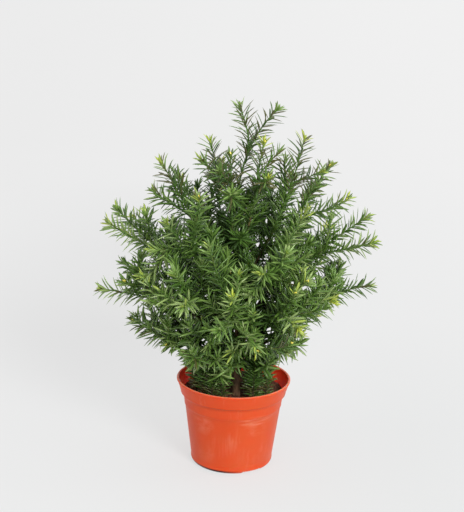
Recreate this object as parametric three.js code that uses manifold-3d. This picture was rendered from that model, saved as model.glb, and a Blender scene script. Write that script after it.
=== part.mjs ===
// Potted yew: a bushy young yew in a round nursery pot.
// Millimetres, +Z up. The origin is the middle of the pot's flat underside, and the
// front of the plant faces -Y. An azimuth is in degrees, from +X round towards +Y.

import * as THREE from 'three';
import { mergeVertices } from 'three/addons/utils/BufferGeometryUtils.js';
import Module from 'manifold-3d';

const wasm = await Module();
wasm.setup();

// Pot
const POT_HEIGHT = 93.5;
const LIP_RADIUS = 60.2;
const LIP_THICKNESS = 2.6;
const LIP_ARC = [-80, 100];
const LIP_ARC_STEPS = 5;
const BAND_TOP_RADIUS = 59;
const BAND_FOOT_RADIUS = 55.8;
const BAND_HEIGHT = 16;
const WALL_TOP_RADIUS = 53.1;
const WALL_FOOT_RADIUS = 43.7;
const WALL_THICKNESS = 1.8;
const LEDGE = 1;
const RIB_DROP = 12.5;
const RIB_PROUD = 0.5;
const FOOT_RADIUS = 38.4;
const FOOT_ROUND = 5.2;
const FOOT_ARC = [-60, 0];
const FOOT_ARC_STEPS = 3;
const FLOOR_THICKNESS = 3;
const FLOOR_ROUND = 3;
const POT_SIDES = 32;
const NOTCH_AZIMUTHS = [-58, 62, 182];
const NOTCH_WIDTH = 24;
const NOTCH_HEIGHT = 2.6;
const NOTCH_DEPTH = 9;

// Soil
const SOIL_LEVEL = 80;
const SOIL_MOUND = 1.5;
const SOIL_LUMP = 0.7;
const LUMPY_FROM = 0.6;
const LUMP_WAVE = 0.29;
const SLANTING_WAVE = 0.16;
const SOIL_RADIUS = 53.3;
const SOIL_RINGS = 4;
const SOIL_SIDES = 24;

// Trunk, from its flat cut at the soil to where the leading shoot takes over
const GAP = 0.3;
const TRUNK_FOOT = standOnSoil(3, -20);
const TRUNK_TOP = new THREE.Vector3(-3.5, 0, 262);
const TRUNK_BEND = new THREE.Vector3(4.5, -9, (TRUNK_FOOT.z + TRUNK_TOP.z) / 2);
const TRUNK_FOOT_RADIUS = 4.3;
const TRUNK_TOP_RADIUS = 1.5;
const FLARE = 1.4;
const FLARE_HEIGHT = 9;
const TRUNK_SIDES = 10;
const TRUNK_STEPS = 14;

// Boughs and side stems
const BOUGH_ROOT_RADIUS = 2.1;
const BOUGH_TIP_RADIUS = 1.35;
const BOUGH_SIDES = 5;
const BOUGH_STEPS = 5;
const BOUGH_RISE = 58;
const BOUGH_SHARE = 0.42;
const BEND = 0.36;
const STEM_SPREAD = 25;
const LINE_STEPS = 10;
const PARTING_STEPS = 400;

// Shoots and needles
const SHOOT_RADIUS = 1.5;
const SHOOT_TIP_RADIUS = 0.9;
const SHOOT_SIDES = 4;
const WHORL_PITCH = 10;
const WHORL_TURN = 45;
const NEEDLE_LENGTH = 19;
const NEEDLE_BASE = 2.8;
const NEEDLE_SPREAD = 56;
const NEEDLE_VARIETY = 0.28;
const NEEDLE_TRIMS = [1, 0.75, 0.5];
const NEEDLE_CHECKS = [0.45, 0.75, 1];
const TUFT_SPREAD = 32;
const TUFT_LENGTH = 12;
const TUFT_POWER = 4;
const SPIKE = 8;
const FORK_AT = 0.52;
const SIDE_AT = 0.7;
const SIDE_ANGLE = 48;
const SIDE_LENGTH = 36;
const SIDE_CHOICES = 8;
const SEEDS_A_LIMB = 1000;
const SEEDS_A_SHOOT = 100;
const KEEP_APART = 1.5;
const SHOOT_SPACING = 10;
const SOIL_CLEARANCE = 5;
const LIP_CLEARANCE = 2;

// Crown outline: widest at its waist, a dome above and a funnel below
const CROWN_RADIUS = 148;
const CROWN_WAIST = 205;
const CROWN_DOME = 186;
const CROWN_NECK_RADIUS = 45;
const CROWN_NECK = 100;

// One row for each limb: name, height on the trunk, then azimuth, reach and height of the
// main tip with its pitch, and azimuth, reach and height of the forked tip.
const LIMBS = [
  ['leader', TRUNK_TOP.z, 9, 39, 382, 42, 241, 6, 385],
  ['top_left', 214, 173, 33, 350, 70, 118, 46, 318],
  ['top_front', 222, 249, 30, 342, 75, 262, 59, 308],
  ['top_right', 230, 320, 31, 355, 75, 300, 56, 322],
  ['crown_right', 192, 353, 65, 360, 80, 36, 58, 325],
  ['high_right', 168, 5, 95, 328, 55, 349, 112, 297],
  ['mid_right', 146, 5, 138, 273, 35, 353, 142, 252],
  ['low_right', 122, 1, 144, 200, 12, 345, 104, 190],
  ['back_base_right', 104, 29, 103, 150, 25, 8, 56, 122],
  ['high_left', 152, 173, 131, 274, 50, 185, 136, 264],
  ['low_left', 124, 183, 146, 190, 8, 168, 126, 209],
  ['upper_left', 188, 184, 82, 329, 62, 165, 94, 290],
  ['base_left', 103, 184, 111, 159, 40, 207, 80, 141],
  ['front_low', 112, 280, 98, 198, 58, 286, 82, 152],
  ['front_mid_left', 134, 238, 116, 238, 55, 222, 114, 200],
  ['front_centre', 126, 268, 122, 223, 60, 254, 104, 266],
  ['front_mid_right', 131, 299, 118, 224, 60, 320, 118, 200],
  ['front_high_right', 160, 295, 112, 263, 55, 314, 96, 296],
  ['front_upper_left', 174, 218, 92, 278, 58, 240, 80, 306],
  ['back_high_right', 178, 52, 94, 302, 45, 74, 98, 276],
  ['back_high_left', 170, 132, 96, 292, 45, 104, 84, 310],
  ['back_mid_right', 138, 40, 132, 240, 25, 60, 128, 218],
  ['back_mid', 150, 88, 130, 246, 30, 104, 126, 216],
  ['back_mid_left', 136, 142, 134, 236, 25, 156, 126, 254],
  ['back_base', 108, 74, 116, 174, 20, 52, 112, 160],
  ['back_base_left', 110, 122, 118, 172, 20, 148, 116, 164],
];

// Side stems that leave the soil beside the trunk, in the same columns.
const STEMS = [
  ['stem_right', 0, 312, 58, 186, 62, 334, 76, 155],
  ['stem_left', 0, 236, 62, 172, 60, 237, 80, 133],
];

const BAND_FOOT = POT_HEIGHT - BAND_HEIGHT;
const LIP_ROLL = LIP_THICKNESS / 2;

const PLASTIC = 0xd9582f;
const SOIL = 0x4a2e25;
const BARK = 0x5b4632;
const FOLIAGE = 0x4f6b34;
const SATIN_PLASTIC = 0.45;
const DULL_SOIL = 0.95;
const ROUGH_BARK = 0.85;
const WAXY_FOLIAGE = 0.6;

const UP = new THREE.Vector3(0, 0, 1);
const NEARLY_UPRIGHT = 0.9;
const WELD = 1e-4;
const CHANCE_STEP = 12.9898;
const CHANCE_SCALE = 43758.5453;

// The soil's top: a low mound, smooth where the stems stand and lumpy towards the wall.
function soilHeight(x, y) {
  const out = Math.hypot(x, y) / SOIL_RADIUS;
  const lump = Math.sin(x * LUMP_WAVE) * Math.cos(y * LUMP_WAVE)
    + Math.sin((x - y) * SLANTING_WAVE);
  const lumpy = Math.max(0, out - LUMPY_FROM) * SOIL_LUMP;
  return SOIL_LEVEL + SOIL_MOUND * (1 - out * out) + lumpy * lump;
}

function standOnSoil(x, y) {
  return new THREE.Vector3(x, y, soilHeight(x, y) + GAP);
}

// A repeatable number from 0 to 1 for a whole-number seed.
function chance(seed) {
  const wave = Math.sin(seed * CHANCE_STEP) * CHANCE_SCALE;
  return wave - Math.floor(wave);
}

function degrees(angle) {
  return THREE.MathUtils.degToRad(angle);
}

function aim(azimuth, pitch) {
  const flat = Math.cos(degrees(pitch));
  return new THREE.Vector3(
    flat * Math.cos(degrees(azimuth)),
    flat * Math.sin(degrees(azimuth)),
    Math.sin(degrees(pitch)),
  );
}

function place(azimuth, reach, height) {
  return aim(azimuth, 0).multiplyScalar(reach).setZ(height);
}

// Solids made of points and faces

class Skin {
  constructor() {
    this.points = [];
    this.faces = [];
  }

  point(place) {
    this.points.push(place);
    return this.points.length - 1;
  }

  ring(frame, radius, sides, turn = 0) {
    const corners = [];
    for (let side = 0; side < sides; side++) {
      const angle = degrees(turn) + (2 * Math.PI * side) / sides;
      const corner = frame.point.clone()
        .addScaledVector(frame.normal, radius * Math.cos(angle))
        .addScaledVector(frame.binormal, radius * Math.sin(angle));
      corners.push(this.point(corner));
    }
    return corners;
  }

  quad(lower, upper, side) {
    const next = (side + 1) % lower.length;
    return [lower[side], lower[next], upper[next], upper[side]];
  }

  band(lower, upper) {
    for (let side = 0; side < lower.length; side++) {
      const [a, b, c, d] = this.quad(lower, upper, side);
      this.faces.push(a, b, c, a, c, d);
    }
  }

  // A band whose upper ring is turned on by half a side.
  turnedBand(lower, upper) {
    for (let side = 0; side < lower.length; side++) {
      const [a, b, c, d] = this.quad(lower, upper, side);
      this.faces.push(a, b, d, b, c, d);
    }
  }

  // A face between two rings drawn out to a point, as a needle is.
  spike(corners, tip) {
    corners.forEach((corner, n) => {
      this.faces.push(corner, corners[(n + 1) % corners.length], tip);
    });
  }

  close(corners, outward) {
    for (let n = 1; n < corners.length - 1; n++) {
      const [a, b] = outward ? [n, n + 1] : [n + 1, n];
      this.faces.push(corners[0], corners[a], corners[b]);
    }
  }

  geometry() {
    const geometry = new THREE.BufferGeometry();
    const numbers = this.points.flatMap((point) => point.toArray());
    geometry.setAttribute('position', new THREE.Float32BufferAttribute(numbers, 3));
    geometry.setIndex(this.faces);
    return geometry;
  }
}

// Points and directions along a curve, with no twist between one and the next.
function framesAlong(curve, stops) {
  let normal = null;
  return stops.map((stop) => {
    const point = curve.getPointAt(stop);
    const tangent = curve.getTangentAt(stop);
    if (!normal) {
      const level = Math.abs(tangent.z) > NEARLY_UPRIGHT ? new THREE.Vector3(0, 1, 0) : UP;
      normal = level.clone();
    }
    normal = normal.clone().addScaledVector(tangent, -normal.dot(tangent)).normalize();
    return { point, tangent, normal, binormal: tangent.clone().cross(normal) };
  });
}

function steps(count) {
  return Array.from({ length: count + 1 }, (_, n) => n / count);
}

// The same frame turned level, for a flat cut across a leaning limb.
function levelled({ point, normal }) {
  const flat = normal.clone().setZ(0).normalize();
  return { point, tangent: UP, normal: flat, binormal: UP.clone().cross(flat) };
}

// A round limb along a curve, with a radius for each share of its length.
function limbGeometry(curve, radiusAt, sides, count, levelFoot = false) {
  const skin = new Skin();
  const stops = steps(count);
  const frames = framesAlong(curve, stops);
  if (levelFoot) {
    frames[0] = levelled(frames[0]);
  }
  const rings = frames.map((frame, n) => skin.ring(frame, radiusAt(stops[n]), sides));
  for (let n = 0; n < count; n++) {
    skin.band(rings[n], rings[n + 1]);
  }
  skin.close(rings[0], false);
  skin.close(rings[count], true);
  return skin.geometry();
}

// Joining and cutting

function solidOf(geometry) {
  const bare = geometry.clone();
  bare.deleteAttribute('normal');
  bare.deleteAttribute('uv');
  const merged = mergeVertices(bare, WELD);
  return new wasm.Manifold(new wasm.Mesh({
    numProp: 3,
    vertProperties: new Float32Array(merged.attributes.position.array),
    triVerts: new Uint32Array(merged.index.array),
  }));
}

function geometryOf(solid) {
  const mesh = solid.getMesh();
  const geometry = new THREE.BufferGeometry();
  geometry.setAttribute('position', new THREE.BufferAttribute(mesh.vertProperties, 3));
  geometry.setIndex(new THREE.BufferAttribute(mesh.triVerts, 1));
  return geometry;
}

// Pot and soil

function round(centreRadius, centreHeight, radius, [from, to], count) {
  return steps(count).map((share) => {
    const angle = degrees(from + (to - from) * share);
    return [
      centreRadius + radius * Math.cos(angle),
      centreHeight + radius * Math.sin(angle),
    ];
  });
}

// The wall's outer radius at a height, below the band.
function wallRadius(height) {
  const share = (height - FOOT_ROUND) / (BAND_FOOT - FOOT_ROUND);
  return WALL_FOOT_RADIUS + (WALL_TOP_RADIUS - WALL_FOOT_RADIUS) * share;
}

function potProfile() {
  const rib = BAND_FOOT - RIB_DROP;
  const bandTop = POT_HEIGHT - LIP_THICKNESS - LEDGE;
  const inner = WALL_THICKNESS;
  const rollRadius = LIP_RADIUS - LIP_ROLL;
  const rollHeight = POT_HEIGHT - LIP_ROLL;
  return [
    [0, 0],
    [FOOT_RADIUS, 0],
    ...round(WALL_FOOT_RADIUS - FOOT_ROUND, FOOT_ROUND, FOOT_ROUND, FOOT_ARC, FOOT_ARC_STEPS),
    [wallRadius(rib - LEDGE), rib - LEDGE],
    [wallRadius(rib) + RIB_PROUD, rib],
    [wallRadius(rib + LEDGE), rib + LEDGE],
    [WALL_TOP_RADIUS, BAND_FOOT - LEDGE],
    [BAND_FOOT_RADIUS, BAND_FOOT],
    [BAND_TOP_RADIUS, bandTop],
    ...round(rollRadius, rollHeight, LIP_ROLL, LIP_ARC, LIP_ARC_STEPS),
    [LIP_RADIUS - LIP_THICKNESS, rollHeight],
    [BAND_TOP_RADIUS - inner, bandTop],
    [BAND_FOOT_RADIUS - inner, BAND_FOOT],
    [WALL_TOP_RADIUS - inner, BAND_FOOT - LEDGE],
    [WALL_FOOT_RADIUS - inner, FLOOR_THICKNESS + FLOOR_ROUND],
    [WALL_FOOT_RADIUS - inner - FLOOR_ROUND, FLOOR_THICKNESS],
    [0, FLOOR_THICKNESS],
  ];
}

// A lathe turns about +Y, so it is stood up to turn about +Z.
function turned(profile, sides) {
  const outline = profile.map(([radius, height]) => new THREE.Vector2(radius, height));
  return new THREE.LatheGeometry(outline, sides).rotateX(Math.PI / 2);
}

function potGeometry() {
  let pot = solidOf(turned(potProfile(), POT_SIDES));
  for (const azimuth of NOTCH_AZIMUTHS) {
    const notch = new THREE.BoxGeometry(NOTCH_DEPTH, NOTCH_WIDTH, 2 * NOTCH_HEIGHT);
    notch.translate(WALL_FOOT_RADIUS - FOOT_ROUND / 2, 0, 0);
    notch.rotateZ(degrees(azimuth));
    pot = pot.subtract(solidOf(notch));
  }
  return geometryOf(pot);
}

function soilGeometry() {
  const inside = WALL_THICKNESS + 2 * GAP;
  const bottom = FLOOR_THICKNESS + GAP;
  const profile = [
    [0, bottom],
    [WALL_FOOT_RADIUS - inside - FLOOR_ROUND, bottom],
    [WALL_FOOT_RADIUS - inside, bottom + FLOOR_ROUND],
    [WALL_TOP_RADIUS - inside, BAND_FOOT - 2 * GAP],
    [BAND_FOOT_RADIUS - inside, BAND_FOOT + 2 * GAP],
  ];
  const rim = profile.length;
  for (let ring = 0; ring <= SOIL_RINGS; ring++) {
    profile.push([SOIL_RADIUS * (1 - ring / SOIL_RINGS), SOIL_LEVEL]);
  }
  const geometry = turned(profile, SOIL_SIDES);
  const position = geometry.attributes.position;
  for (let n = 0; n < position.count; n++) {
    if (n % profile.length >= rim) {
      position.setZ(n, soilHeight(position.getX(n), position.getY(n)));
    }
  }
  return geometry;
}

// Where the limbs run

// The trunk's middle line at a height: its three control heights are evenly spaced.
function trunkAt(height) {
  const share = (height - TRUNK_FOOT.z) / (TRUNK_TOP.z - TRUNK_FOOT.z);
  return trunkCurve.getPoint(share);
}

function trunkRadius(height) {
  const rise = height - TRUNK_FOOT.z;
  const share = rise / (TRUNK_TOP.z - TRUNK_FOOT.z);
  const taper = TRUNK_FOOT_RADIUS + (TRUNK_TOP_RADIUS - TRUNK_FOOT_RADIUS) * share;
  return taper + FLARE * Math.max(0, 1 - rise / FLARE_HEIGHT) ** 2;
}

const trunkCurve = new THREE.QuadraticBezierCurve3(TRUNK_FOOT, TRUNK_BEND, TRUNK_TOP);

// A limb leaves its foot in one direction and arrives at its tip in another.
function sweep(foot, leaving, tip, arriving) {
  const bend = BEND * foot.distanceTo(tip);
  return new THREE.CubicBezierCurve3(
    foot,
    foot.clone().addScaledVector(leaving, bend),
    tip.clone().addScaledVector(arriving, -bend),
    tip,
  );
}

// The stretch of a curve between two of its own shares, as a curve of its own.
function stretch(curve, from, to) {
  const points = steps(LINE_STEPS).map((share) => curve.getPoint(from + (to - from) * share));
  return new THREE.CatmullRomCurve3(points);
}

function lineOf(curve, radius) {
  return { points: curve.getSpacedPoints(LINE_STEPS), radius };
}

const segment = new THREE.Line3();
const nearest = new THREE.Vector3();

function distanceTo(line, point) {
  let least = Infinity;
  for (let n = 1; n < line.points.length; n++) {
    segment.set(line.points[n - 1], line.points[n]);
    segment.closestPointToPoint(point, true, nearest);
    least = Math.min(least, nearest.distanceTo(point));
  }
  return least - line.radius;
}

function crownRadius(height) {
  if (height < CROWN_WAIST) {
    const share = (height - CROWN_NECK) / (CROWN_WAIST - CROWN_NECK);
    return CROWN_NECK_RADIUS + (CROWN_RADIUS - CROWN_NECK_RADIUS) * share;
  }
  const share = (height - CROWN_WAIST) / CROWN_DOME;
  return CROWN_RADIUS * (1 - share * share);
}

function insideCrown(point) {
  return Math.hypot(point.x, point.y) < crownRadius(point.z);
}

function overPot(point) {
  const radius = Math.hypot(point.x, point.y);
  if (radius < SOIL_RADIUS) {
    return point.z > SOIL_LEVEL + SOIL_CLEARANCE;
  }
  return point.z > POT_HEIGHT + LIP_CLEARANCE;
}

// The share of a bough's curve at which every corner of its end is a gap clear of the trunk.
function partedFromTrunk(curve) {
  return steps(PARTING_STEPS).find((share) => {
    const [frame] = framesAlong(stretch(curve, share, BOUGH_SHARE), [0]);
    const end = new Skin();
    end.ring(frame, BOUGH_ROOT_RADIUS, BOUGH_SIDES);
    return end.points.every((corner) => {
      const trunk = trunkAt(corner.z);
      const away = Math.hypot(corner.x - trunk.x, corner.y - trunk.y);
      return away > trunkRadius(corner.z) + GAP;
    });
  });
}

// Main lines of every limb: the bare bough, and the shoots of its foliage.
function plan([name, height, azimuth, reach, tipHeight, pitch, ...fork], number) {
  const fromSoil = height === 0;
  const leading = height === TRUNK_TOP.z;
  const tip = place(azimuth, reach, tipHeight);
  let foot = trunkAt(height);
  let leaving = aim(azimuth, BOUGH_RISE);
  if (fromSoil) {
    const stand = place(azimuth, STEM_SPREAD, 0);
    foot = standOnSoil(stand.x, stand.y);
    leaving = UP;
  }
  if (leading) {
    foot = TRUNK_TOP.clone().addScaledVector(UP, GAP);
    leaving = UP;
  }
  const whole = sweep(foot, leaving, tip, aim(azimuth, pitch));
  const length = whole.getLength();
  const limb = { name, number, shoots: [] };
  let start = 0;
  if (!leading) {
    limb.bough = stretch(whole, fromSoil ? 0 : partedFromTrunk(whole), BOUGH_SHARE);
    start = BOUGH_SHARE + GAP / length;
  }
  const main = stretch(whole, start, 1);
  limb.shoots.push(main);

  const forkTip = place(...fork);
  const joint = whole.getPoint(FORK_AT);
  const along = whole.getTangent(FORK_AT);
  const arriving = forkTip.clone().sub(joint).normalize().add(aim(fork[0], pitch)).normalize();
  limb.shoots.push(sweep(joint, along, forkTip, arriving));
  limb.side = { joint: whole.getPoint(SIDE_AT), along: whole.getTangent(SIDE_AT) };
  return limb;
}

const limbs = [...LIMBS, ...STEMS].map(plan);
const lines = [lineOf(trunkCurve, TRUNK_TOP_RADIUS)];
for (const limb of limbs) {
  if (limb.bough) {
    lines.push(lineOf(limb.bough, BOUGH_TIP_RADIUS));
  }
  for (const shoot of limb.shoots) {
    shoot.line = lineOf(shoot, 0);
    lines.push(shoot.line);
  }
}

// One more shoot on each limb, to the side that has the most room.
for (const limb of limbs) {
  const { joint, along } = limb.side;
  let best = { room: SHOOT_SPACING };
  for (let choice = 0; choice < SIDE_CHOICES; choice++) {
    const spin = (2 * Math.PI * (choice + chance(limb.number))) / SIDE_CHOICES;
    const across = along.clone().cross(UP).normalize().applyAxisAngle(along, spin);
    const out = along.clone().applyAxisAngle(across, degrees(SIDE_ANGLE));
    const tip = joint.clone().addScaledVector(out, SIDE_LENGTH);
    const room = Math.min(...lines.map((line) => distanceTo(line, tip)));
    if (room > best.room && insideCrown(tip) && overPot(tip)) {
      best = { room, tip, out };
    }
  }
  if (best.tip) {
    const shoot = sweep(joint, best.out, best.tip, best.out);
    shoot.line = lineOf(shoot, 0);
    lines.push(shoot.line);
    limb.shoots.push(shoot);
  }
}

// A needle is kept where it is nearer its own shoot than any other line.
function hasRoom(root, tip, own) {
  return NEEDLE_CHECKS.every((share) => {
    const point = root.clone().lerp(tip, share);
    const home = distanceTo(own, point) + KEEP_APART;
    return overPot(point)
      && lines.every((line) => line === own || distanceTo(line, point) > home);
  });
}

// A square-sectioned shoot whose whorls of four needles are drawn out of its faces.
function shootGeometry(shoot, seed) {
  const length = shoot.getLength();
  const count = Math.max(2, Math.round((length - SPIKE) / WHORL_PITCH));
  const pitch = (length - SPIKE) / count;
  const stops = [0];
  for (let whorl = 1; whorl <= count; whorl++) {
    stops.push((whorl * pitch - NEEDLE_BASE) / length, (whorl * pitch) / length);
  }
  stops.push(1);
  const frames = framesAlong(shoot, stops);
  const skin = new Skin();
  const radiusAt = (share) => SHOOT_RADIUS + (SHOOT_TIP_RADIUS - SHOOT_RADIUS) * share;
  let below = skin.ring(frames[0], radiusAt(0), SHOOT_SIDES);
  skin.close(below, false);
  for (let whorl = 1; whorl <= count; whorl++) {
    const turn = WHORL_TURN * whorl;
    const frame = frames[2 * whorl - 1];
    const lower = skin.ring(frame, radiusAt(stops[2 * whorl - 1]), SHOOT_SIDES, turn);
    const upper = skin.ring(frames[2 * whorl], radiusAt(stops[2 * whorl]), SHOOT_SIDES, turn);
    skin.turnedBand(below, lower);
    const share = whorl / count;
    const late = share ** TUFT_POWER;
    const spread = degrees(NEEDLE_SPREAD + (TUFT_SPREAD - NEEDLE_SPREAD) * late);
    const full = NEEDLE_LENGTH + (TUFT_LENGTH - NEEDLE_LENGTH) * late;
    for (let side = 0; side < SHOOT_SIDES; side++) {
      const corners = skin.quad(lower, upper, side);
      const root = corners.reduce((sum, n) => sum.add(skin.points[n]), new THREE.Vector3())
        .divideScalar(corners.length);
      const outward = root.clone().sub(frame.point);
      outward.addScaledVector(frame.tangent, -outward.dot(frame.tangent)).normalize();
      const lean = frame.tangent.clone().multiplyScalar(Math.cos(spread))
        .addScaledVector(outward, Math.sin(spread));
      const variety = chance(seed + SHOOT_SIDES * whorl + side) - 0.5;
      const reach = full * (1 + NEEDLE_VARIETY * variety);
      const tip = NEEDLE_TRIMS
        .map((trim) => root.clone().addScaledVector(lean, reach * trim))
        .find((point) => hasRoom(root, point, shoot.line));
      if (tip) {
        skin.spike(corners, skin.point(tip));
      } else {
        const [a, b, c, d] = corners;
        skin.faces.push(a, b, c, a, c, d);
      }
    }
    below = upper;
  }
  skin.spike(below, skin.point(frames[frames.length - 1].point));
  return skin.geometry();
}

// Assembly

const plant = new THREE.Group();

function add(name, geometry, color, roughness) {
  const material = new THREE.MeshStandardMaterial({ color, roughness, metalness: 0 });
  const mesh = new THREE.Mesh(geometry, material);
  mesh.name = name;
  plant.add(mesh);
}

add('pot', potGeometry(), PLASTIC, SATIN_PLASTIC);
add('soil', soilGeometry(), SOIL, DULL_SOIL);
add('trunk', limbGeometry(
  trunkCurve,
  (share) => trunkRadius(trunkCurve.getPointAt(share).z),
  TRUNK_SIDES,
  TRUNK_STEPS,
  true,
), BARK, ROUGH_BARK);

for (const limb of limbs) {
  if (limb.bough) {
    const name = limb.name.startsWith('stem') ? limb.name : `bough_${limb.name}`;
    const radiusAt = (share) =>
      BOUGH_ROOT_RADIUS + (BOUGH_TIP_RADIUS - BOUGH_ROOT_RADIUS) * share;
    add(name, limbGeometry(limb.bough, radiusAt, BOUGH_SIDES, BOUGH_STEPS), BARK, ROUGH_BARK);
  }
  const foliage = limb.shoots
    .map((shoot, n) => solidOf(shootGeometry(shoot, SEEDS_A_LIMB * limb.number + SEEDS_A_SHOOT * n)))
    .reduce((whole, part) => whole.add(part));
  add(`foliage_${limb.name}`, geometryOf(foliage), FOLIAGE, WAXY_FOLIAGE);
}

export default plant;
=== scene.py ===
"""A bushy young yew in an orange nursery pot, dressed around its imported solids.

The plant's rule works in millimetres and the meshes are in metres. The front of the plant
faces -Y, and an azimuth is in degrees, from +X round towards +Y.
"""

import math

import bmesh
import bpy
import numpy as np
from mathutils import Matrix, Vector, noise


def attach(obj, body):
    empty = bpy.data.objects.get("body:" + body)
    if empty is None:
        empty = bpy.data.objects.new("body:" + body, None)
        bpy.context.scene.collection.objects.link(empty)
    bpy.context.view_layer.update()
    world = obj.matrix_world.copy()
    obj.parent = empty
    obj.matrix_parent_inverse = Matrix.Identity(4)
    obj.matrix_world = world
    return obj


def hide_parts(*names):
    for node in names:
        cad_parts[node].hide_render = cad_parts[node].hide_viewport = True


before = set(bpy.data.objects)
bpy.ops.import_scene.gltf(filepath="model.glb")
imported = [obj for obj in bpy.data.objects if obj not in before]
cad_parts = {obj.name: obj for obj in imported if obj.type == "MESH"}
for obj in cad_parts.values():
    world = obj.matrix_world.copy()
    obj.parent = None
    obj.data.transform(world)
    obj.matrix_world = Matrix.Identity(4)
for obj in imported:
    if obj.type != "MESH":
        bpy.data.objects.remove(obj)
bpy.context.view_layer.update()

MM = 0.001
UP = Vector((0, 0, 1))

# Pot, as in the solids
POT_HEIGHT = 93.5
LIP_RADIUS = 60.2
LIP_THICKNESS = 2.6
BAND_TOP_RADIUS = 59
BAND_FOOT_RADIUS = 55.8
BAND_HEIGHT = 16
WALL_TOP_RADIUS = 53.1
WALL_FOOT_RADIUS = 43.7
WALL_THICKNESS = 1.8
RIB_DROP = 12.5
RIB_PROUD = 0.5
FOOT_RADIUS = 38.4
FOOT_ROUND = 5.2
FLOOR_THICKNESS = 3
NOTCH_AZIMUTHS = (-58, 62, 182)
NOTCH_WIDTH = 24
NOTCH_HEIGHT = 2.6
FOOT_RING = 6
POLE = 0.01
OUT_OF_ROUND = 0.22
BAND_FOOT = POT_HEIGHT - BAND_HEIGHT

# Soil
SOIL_LEVEL = 80
SOIL_MOUND = 1.5
SOIL_RADIUS = 53.3

# Trunk and boughs
SEAT_GAP = 0.3
TRUNK_TOP = Vector((-3.5, 0, 262))
TRUNK_FOOT_RADIUS = 4.3
TRUNK_TOP_RADIUS = 1.5
FLARE = 1.4
FLARE_HEIGHT = 9
TRUNK_FOLIAGE = 165
BOUGH_ROOT_RADIUS = 2.1
BOUGH_TIP_RADIUS = 1.35
BOUGH_START = 0.02
BOUGH_RISE = 58
BOUGH_SHARE = 0.42
BEND = 0.36
STEM_SPREAD = 25
LINE_STEPS = 10

# Higher boughs are slimmer: from which height and over how much, and their foot and tip
HIGH_BOUGHS = (100, 110)
HIGH_BOUGH_RADII = (1.3, 0.9)

# Shoots
FORK_AT = 0.52
SIDE_AT = 0.7
SIDE_ANGLE = 48
SIDE_LENGTH = 36
SIDE_CHOICES = 8
SHOOT_SPACING = 10
SOIL_CLEARANCE = 5
LIP_CLEARANCE = 2
SUCKER_PITCH = 70
BARE_SHARE = 0.05
MAIN_STEPS = 24
FORK_STEPS = 16
FINE_STEPS = 8

# Thickness of the shoots, foot and tip
MAIN_RADII = (BOUGH_ROOT_RADIUS, 0.6)
FORK_RADII = (1.1, 0.6)
SIDE_RADII = (0.9, 0.55)
TOP_RADII = (1.2, 1.2)
FINE_RADII = (0.75, 0.5)

# Seeds: each limb has a thousand, shared out among its shoots
LIMB_SEEDS = 1000
FORK_SEED = 100
SIDE_SEED = 200
FINE_SEED = 300
CARRIER_SEEDS = 20
SUCKER_SEED = 90000
TOP_SEED = 95000

# How far tips turn to the lime of new growth
FRESH = 1
FRESH_FRONT = 0.5
FRESH_DULL = 0.2

# Finer twigs: the shares of a limb where they leave it, and how close they may come
FINE_ON_LIMB = (0.2, 0.27, 0.34, 0.41, 0.47, 0.58, 0.64, 0.77)
FINE_ON_FORK = (0.3, 0.5, 0.7)
FINE_ON_SIDE = (0.5,)
FINE_ON_TRUNK = tuple(0.16 + 0.055 * n for n in range(14))
FINE_LENGTH = 37
FINE_SPACING = 9.5
FINE_CHOICES = 12
LOW_FINE_HEIGHT = 190
LOW_FINE_SPACING = 1.45
LIFT = 1.3
UPRIGHT = 14

# Core that the finer twigs fill, radius at a height: pot's rim, widest and top
CORE = ((92, 34), (125, 60), (150, 95), (185, 124), (240, 106), (270, 56), (290, 24), (305, 0))
CORE_SHIFT = 3

# Cleft in the crown's front that stays free of finer twigs: across, depth and heights
CLEFT = ((13, 47), 5, (168, 292))

# Camera: where it aims, how far off and how high it stands, and its lens in pixels
AIMED_AT = Vector((-5.64, 0, 226.5))
CAMERA_DISTANCE = 1300
CAMERA_ELEVATION = 15.68
CAMERA_ROLL = 1.73
FOCUS = 1257
PICTURE = (464, 512)
SENSOR = 36

# Main gaps between the sprays where the photo shows sky: name, its pixel across and down,
# and half its width
GAPS = (
    ("high_left", 188, 217, 1.4),
    ("high_middle", 240, 230, 0.9),
    ("cleft_high", 267, 221, 1.4),
    ("cleft_middle", 258, 245, 1.1),
    ("cleft_low", 266, 271, 1.2),
    ("front_left", 207, 297, 1.4),
    ("front_middle", 246, 300, 1.2),
    ("front_right", 258, 303, 1.3),
    ("right_front", 292, 284, 1.3),
    ("right", 304, 288, 1.3),
    ("low_far_left", 185, 348, 1.6),
    ("low_left", 204, 342, 3),
    ("low_middle_left", 236, 333, 2.6),
    ("low_middle", 245, 339, 2.4),
    ("low_right", 270, 331, 2.9),
    ("low_right_foot", 266, 343, 2.9),
)
GAP_MARGIN = 0.9
GAP_STRAY = 0.04
GAP_TRIES = 5
TURN_ASIDE = 0.37

# Crown outline
CROWN_RADIUS = 148
CROWN_WAIST = 205
CROWN_DOME = 186
CROWN_NECK_RADIUS = 45
CROWN_NECK = 100
CROWN_TIP = 372
NARROWEST = 20

# Needles
NEEDLE_LENGTH = 17.2
NEEDLE_WIDTH = 2.15
NEEDLE_THICKNESS = 0.95
NEEDLE_CURL = 1.3
NEEDLE_PITCH = 1.0
NEEDLE_SPREAD = 58
TUFT_SPREAD = 30
TUFT = 15
TUFT_NEEDLES = 7
TIP_SHARE = 0.975
GOLDEN_ANGLE = 137.5

# Where the airy rim and top begin and over how much they grow, and how airy the rim gets
AIRY_OUT = (0.86, 0.24)
AIRY_UP = (278, 50)
AIRY_RIM = 0.7

# Shares of the pitch: in the airy parts, low down, low at the back, on shoots from the soil
AIRY_PITCH = 1.15
LOW_PITCH = 1.4
LOW_DOWN = (215, -50)
BACK_PITCH = 1.35
BACK_FROM = 20
BACK_TOP = 230
RISING_PITCH = 0.3

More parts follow.
